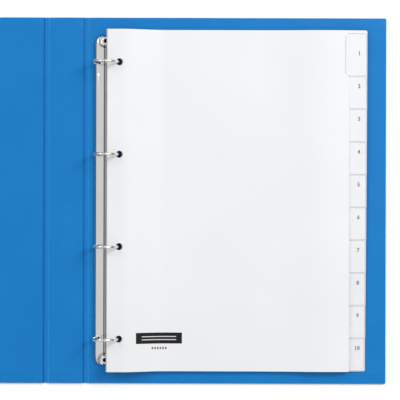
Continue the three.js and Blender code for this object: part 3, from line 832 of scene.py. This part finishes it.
def wire_ring_half(side):
    """Half a ring at y = 0: tip, arc, bend, foot and its riveted head."""
    entry = math.pi - math.asin(RING_ENTRY / RING_RADIUS)
    bend = entry - math.pi / 2
    tip = TIP_GAP / 2 / RING_RADIUS
    turn = 1 if side == "right" else -1
    axis_place = (MECHANISM_X, 0, RING_AXIS_Z)
    tip_x = MECHANISM_X + turn * RING_RADIUS * math.sin(tip)
    tip_z = RING_AXIS_Z + RING_RADIUS * math.cos(tip)
    clear_selection()
    bpy.ops.mesh.primitive_circle_add(
        vertices=WIRE_SIDES,
        radius=WIRE_RADIUS,
        fill_type="NGON",
        location=(tip_x, 0, tip_z),
        rotation=(0, math.pi / 2 + turn * tip, 0),
    )
    part = begin(f"wire_ring_{side}")
    bpy.ops.mesh.select_all(action="SELECT")
    bpy.ops.mesh.spin(steps=ARC_STEPS, angle=-turn * (entry - tip), center=axis_place, axis=(0, 1, 0))
    bend_x = RING_ENTRY + FOOT_BEND_RADIUS * math.cos(bend)
    bend_z = RING_AXIS_Z + RING_RADIUS * math.cos(entry) - FOOT_BEND_RADIUS * math.sin(bend)
    bend_place = (MECHANISM_X + turn * bend_x, 0, bend_z)
    bpy.ops.mesh.spin(steps=BEND_STEPS, angle=turn * bend, center=bend_place, axis=(0, 1, 0))
    foot_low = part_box("ring_right_1")[0].z
    drop = bend_z - foot_low - FOOT_HEAD_THICKNESS
    bpy.ops.mesh.extrude_region_move(TRANSFORM_OT_translate={"value": (0, 0, -drop)})
    foot = (MECHANISM_X + turn * (bend_x - FOOT_BEND_RADIUS), 0, 0)
    share = FOOT_HEAD_RADIUS / WIRE_RADIUS
    bpy.ops.mesh.extrude_region_move(TRANSFORM_OT_translate={"value": (0, 0, 0)})
    bpy.ops.transform.resize(value=(share, share, 1), center_override=foot)
    bpy.ops.mesh.extrude_region_move(TRANSFORM_OT_translate={"value": (0, 0, -FOOT_HEAD_THICKNESS)})
    bpy.ops.object.mode_set(mode="OBJECT")
    close_tip(part)
    facing_out(part)
    return part


def close_tip(part):
    """Close the open tip and round its edge, so that two halves meet at a fine line."""
    open_whole(part)
    bpy.ops.mesh.remove_doubles(threshold=1e-6)
    top = RING_AXIS_Z + RING_RADIUS - 2 * WIRE_RADIUS
    pick(part, "EDGE", lambda e: len(e.link_faces) < 2 and e.verts[0].co.z > top)
    if any(e.select for e in bmesh.from_edit_mesh(part.data).edges):
        bpy.ops.mesh.edge_face_add()
    pick(part, "FACE", lambda f: len(f.verts) > 4 and f.calc_center_median().z > top)
    bpy.ops.mesh.region_to_loop()
    bpy.ops.mesh.bevel(offset=TIP_ROUND, segments=TIP_STEPS, affect="EDGES")
    bpy.ops.object.mode_set(mode="OBJECT")


def all_rings(paint):
    for side in ("left", "right"):
        pattern = wire_ring_half(side)
        for k, y in enumerate(RING_YS):
            ring = copy_of(pattern, f"wire_ring_{side}_{k + 1}", (0, y, 0))
            finish_part(ring, f"{side}_ring_set", paint, [f"ring_{side}_{k + 1}"], angle=50)
        bpy.data.objects.remove(pattern)


# ---- dividers ----
def sheet_lift(x):
    """How far the rings and the wave lift a sheet at a place along X."""
    distance = x - MECHANISM_X
    wave = WAVE_HEIGHT * math.exp(-(((distance - WAVE_X) / WAVE_SPREAD) ** 2))
    return RING_LIFT * (1 - eased(distance, LIFT_START, LIFT_START + LIFT_RUN)) + wave


def lift_on_faces(x):
    """The lift on the sheet's faces, which are flat from one crease to the next."""
    start = MECHANISM_X + LIFT_START
    low = start + math.floor((x - start) / CURVE_STEP) * CURVE_STEP
    share = (x - low) / CURVE_STEP
    return (1 - share) * sheet_lift(low) + share * sheet_lift(low + CURVE_STEP)


def sheet_base(index):
    return LINER_HIGH.z + STACK_CLEARANCE + (DIVIDER_COUNT - 1 - index) * SHEET_PITCH


def tab_span(index):
    pitch = (SHEET_HEIGHT - TAB_LENGTH) / (DIVIDER_COUNT - 1)
    high = SHEET_HEIGHT / 2 - index * pitch
    return high - TAB_LENGTH, high


def curve_stations(low_x, high_x):
    """Places where a curved sheet needs a crease."""
    wave_high = MECHANISM_X + WAVE_X + 2 * WAVE_SPREAD
    stations = []
    x = MECHANISM_X + LIFT_START
    while x < wave_high:
        stations.append(x)
        x += CURVE_STEP
    return [x for x in stations if low_x + CREASE_EDGE_GAP < x < high_x - CREASE_EDGE_GAP]


def lay_on_stack(part, height):
    """Lift a flat piece to its height in the stack and onto the sheet's curve."""
    for vertex in part.data.vertices:
        vertex.co.z += height + lift_on_faces(vertex.co.x)


def divider_sheet(index, paint):
    """One A4 divider with four holes and its tab."""
    low_x = SHEET_LOWS[index].x
    tab_x = SHEET_HIGHS[index].x
    body_x = tab_x - TAB_DEPTH
    half = SHEET_HEIGHT / 2
    tab_low, tab_high = tab_span(index)
    part = flat(f"divider_sheet_{index + 1}", low_x, body_x, -half, half)
    cuts = [y for y in (tab_low, tab_high) if abs(y) < half - 0.1 * MM]
    cut_across(cuts, (0, 1, 0))
    pick(part, "EDGE", lambda e: on_tab_edge(e, body_x, tab_low, tab_high))
    bpy.ops.mesh.extrude_region_move(TRANSFORM_OT_translate={"value": (TAB_DEPTH, 0, 0)})
    pick(part, "VERT", lambda v: close_to(v.co.x, tab_x))
    bpy.ops.mesh.bevel(offset=TAB_CORNER, segments=CORNER_STEPS, affect="VERTICES")
    cut_across(curve_stations(low_x, tab_x), (1, 0, 0))
    bpy.ops.object.mode_set(mode="OBJECT")
    modify(part, "SOLIDIFY", thickness=SHEET_THICKNESS, offset=1)
    punches = [punch((low_x + HOLE_INSET, y, -1 * MM), HOLE_RADIUS, 2 * MM) for y in RING_YS]
    cut_away(part, joined(punches))
    lay_on_stack(part, sheet_base(index))
    return finish_part(part, f"divider_{index + 1}", paint, [f"divider_{index + 1}"])


def on_tab_edge(edge, body_x, tab_low, tab_high):
    """Whether an edge of the sheet's body is the one that the tab grows from."""
    slack = 0.01 * MM
    return both_ends(edge, lambda co: close_to(co.x, body_x) and tab_low - slack < co.y < tab_high + slack)


def tab_film(index, paint, rim_shade_paint):
    """Clear film welded over one tab, with a grey rim of painted shade along its edge."""
    tab_x = SHEET_HIGHS[index].x
    body_x = tab_x - TAB_DEPTH
    tab_low, tab_high = tab_span(index)
    low_x, high_x = body_x - FILM_OVERLAP, tab_x - FILM_EDGE_SETBACK
    low_y, high_y = tab_low + FILM_EDGE_SETBACK, tab_high - FILM_END_SETBACK
    part = flat(f"clear_tab_film_{index + 1}", low_x, high_x, low_y, high_y)
    for edge_x, corner in ((low_x, FILM_CORNER), (high_x, TAB_CORNER)):
        pick(part, "VERT", lambda v: close_to(v.co.x, edge_x))
        bpy.ops.mesh.bevel(offset=corner, segments=CORNER_STEPS, affect="VERTICES")
    bpy.ops.mesh.select_all(action="SELECT")
    bpy.ops.mesh.inset(thickness=FILM_RIM)
    cut_across(curve_stations(low_x, high_x), (1, 0, 0))
    bpy.ops.object.mode_set(mode="OBJECT")
    modify(part, "SOLIDIFY", thickness=FILM_THICKNESS, offset=1)
    lay_on_stack(part, sheet_base(index) + SHEET_THICKNESS + FILM_GAP)
    finish_part(part, f"divider_{index + 1}", paint, [f"tab_film_{index + 1}"])
    part.data.materials.append(rim_shade_paint)
    # Faces on the rim get the grey film: painted shade along the film's edge.
    for face in part.data.polygons:
        inner_x = low_x + FILM_RIM < face.center.x < high_x - FILM_RIM
        inner_y = low_y + FILM_RIM < face.center.y < high_y - FILM_RIM
        face.material_index = 0 if inner_x and inner_y else 1
    return part


def tab_number(index, paint):
    """The printed number on one tab."""
    text = bpy.data.curves.new(f"tab_number_{index + 1}", "FONT")
    text.body = str(index + 1)
    text.size = NUMBER_SIZE
    text.align_x = "CENTER"
    text.align_y = "CENTER"
    text.extrude = PRINT_THICKNESS / 2
    text.offset = NUMBER_WEIGHT
    text.resolution_u = 3
    number = bpy.data.objects.new(text.name, text)
    bpy.context.scene.collection.objects.link(number)
    tab_low, tab_high = tab_span(index)
    number.location = (SHEET_HIGHS[index].x - NUMBER_INSET, (tab_low + tab_high) / 2, PRINT_THICKNESS / 2)
    make_current(number)
    bpy.ops.object.convert(target="MESH")
    bpy.ops.object.transform_apply(location=True, rotation=True, scale=True)
    number = bpy.context.object
    weld(number)
    facing_out(number)
    lay_on_stack(number, sheet_base(index) + SHEET_THICKNESS + PRINT_GAP)
    return finish_part(number, f"divider_{index + 1}", paint)


def printed_patch(name, low, high, level, corner):
    """A thin patch of ink on the first sheet."""
    part = flat(name, low[0], high[0], low[1], high[1])
    bpy.ops.mesh.select_all(action="SELECT")
    bpy.ops.mesh.bevel(offset=corner, segments=3, affect="VERTICES")
    cut_across(curve_stations(low[0], high[0]), (1, 0, 0))
    bpy.ops.object.mode_set(mode="OBJECT")
    modify(part, "SOLIDIFY", thickness=PRINT_THICKNESS, offset=1)
    layer = PRINT_GAP + level * (PRINT_THICKNESS + PRINT_GAP)
    lay_on_stack(part, sheet_base(0) + SHEET_THICKNESS + layer)
    return part


def printed_marks(block_paint, line_paint, dash_paint):
    """A plain printed block with two pale lines, and a row of grey dashes under it."""
    (low_x, low_y), (high_x, high_y) = BLOCK_LOW, BLOCK_HIGH
    dark = printed_patch("printed_block", BLOCK_LOW, BLOCK_HIGH, 0, BLOCK_CORNER)
    finish_part(dark, "divider_1", block_paint)
    half_line = PALE_LINE_WIDTH / 2
    lines = []
    for k, share in enumerate(PALE_LINE_PLACES):
        y = low_y + share * (high_y - low_y)
        low = (low_x + PALE_LINE_MARGIN, y - half_line)
        high = (high_x - PALE_LINE_MARGIN, y + half_line)
        lines.append(printed_patch(f"pale_line_{k + 1}", low, high, 1, PALE_LINE_WIDTH / 3))
    finish_part(joined(lines), "divider_1", line_paint).name = "pale_lines"
    dashes = []
    for k in range(DASH_COUNT):
        x = DASH_START[0] + k * DASH_PITCH
        low, high = (x, DASH_START[1]), (x + DASH_WIDTH, DASH_START[1] + DASH_HEIGHT)
        dashes.append(printed_patch(f"dash_{k + 1}", low, high, 0, DASH_CORNER))
    finish_part(joined(dashes), "divider_1", dash_paint).name = "grey_dashes"


def repaint_nodes(names, paint):
    for name in names:
        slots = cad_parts[name].data.materials
        slots.clear()
        slots.append(paint)


set_camera()
set_stage()

LIGHT_BLUE, DARK_BLUE = (0.006, 0.190, 0.525), (0.004, 0.175, 0.495)
# Painted shade and painted highlight for the grooves' lines; the highlight is partly the foil's stretch
# whitening.
PAINTED_SHADE_BLUE, HIGHLIGHT_AND_WHITENING_BLUE = (0.003, 0.12, 0.40), (0.035, 0.34, 0.76)
foils = {}
# Each groove gets painted shade along its left edge and a painted highlight along its right edge.
for place_name, painted_shade_x, highlight_and_whitening_x in (
    ("back", None, BACK_LOW.x),
    ("spine", None, SPINE_LOW.x),
    ("front", FRONT_HIGH.x, None),
    ("spine_groove", SPINE_HIGH.x + GROOVE_LINE_OFFSET, BACK_LOW.x),
    ("front_groove", FRONT_HIGH.x + GROOVE_LINE_OFFSET, SPINE_LOW.x),
):
    tints = [(painted_shade_x, PAINTED_SHADE_BLUE)] if painted_shade_x is not None else []
    tints += [(highlight_and_whitening_x, HIGHLIGHT_AND_WHITENING_BLUE)] if highlight_and_whitening_x is not None else []
    foils[place_name] = foil_paint(f"{place_name}_foil", LIGHT_BLUE, DARK_BLUE, 0.38, 1500, 0.28, tints)
liner_foil = foil_paint("liner_foil", LIGHT_BLUE, DARK_BLUE, 0.42, 2000, 0.22)
nickel = nickel_paint("nickel_plate")
# Lines of painted shade down both sides of the housing's crest bead.
bead_shade_lines = [
    (MECHANISM_X - BEAD_SIDE * BEAD_WIDTH / 2, (0.11, 0.10, 0.09)),
    (MECHANISM_X + BEAD_SIDE * BEAD_WIDTH / 2, (0.03, 0.026, 0.022)),
]
housing_nickel_painted_shade = nickel_paint("housing_nickel_painted_shade", bead_shade_lines)
white_sheet = sheet_paint()
clear_film = film_paint("clear_film", (0.90, 0.91, 0.96), 0.12)
# A grey film of painted shade for the tab films' rims.
film_rim_shade = film_paint("film_rim_painted_shade", (0.62, 0.62, 0.66), 0.34)
chipboard = board_paint()
number_ink = ink_and_shade_paint("number_ink", (0.02, 0.02, 0.03), (0.06, 0.06, 0.08))
block_ink = ink_and_shade_paint("block_ink", (0.012, 0.012, 0.013), (0.04, 0.04, 0.04))
pale_ink = ink_and_shade_paint("pale_ink", (0.72, 0.72, 0.73), (0.6, 0.6, 0.6))
# Dark paint for painted shade inside the rivets' bores.
painted_shade_in_bores = ink_and_shade_paint("painted_bore_shade", (0.008, 0.012, 0.018), (0.03, 0.03, 0.03))
dash_ink = ink_and_shade_paint("dash_ink", (0.12, 0.12, 0.13), (0.3, 0.3, 0.3))

foil_wrap("back", "back_cover", BACK_LOW, BACK_HIGH, BACK_HIGH.x, foils["back"])
foil_wrap("spine", "spine", SPINE_LOW, SPINE_HIGH, None, foils["spine"])
foil_wrap("front", "front_cover", FRONT_LOW, FRONT_HIGH, FRONT_LOW.x, foils["front"])
groove_foil("spine_groove", "spine_hinge_strip", foils["spine_groove"])
groove_foil("front_groove", "front_hinge_strip", foils["front_groove"])

pressed_housing(housing_nickel_painted_shade)
tube_rivet("top_tube_rivet", "top_rivet", 1, nickel, painted_shade_in_bores)
tube_rivet("bottom_tube_rivet", "bottom_rivet", -1, nickel, painted_shade_in_bores)
all_rings(nickel)

for sheet in range(DIVIDER_COUNT):
    divider_sheet(sheet, white_sheet)
    tab_film(sheet, clear_film, film_rim_shade)
    tab_number(sheet, number_ink)
printed_marks(block_ink, pale_ink, dash_ink)

repaint_nodes(["back_board", "spine_board", "front_board"], chipboard)
repaint_nodes(["back_inner_liner", "spine_inner_liner", "front_inner_liner"], liner_foil)
repaint_nodes(["left_hinge_plate", "right_hinge_plate"], nickel)
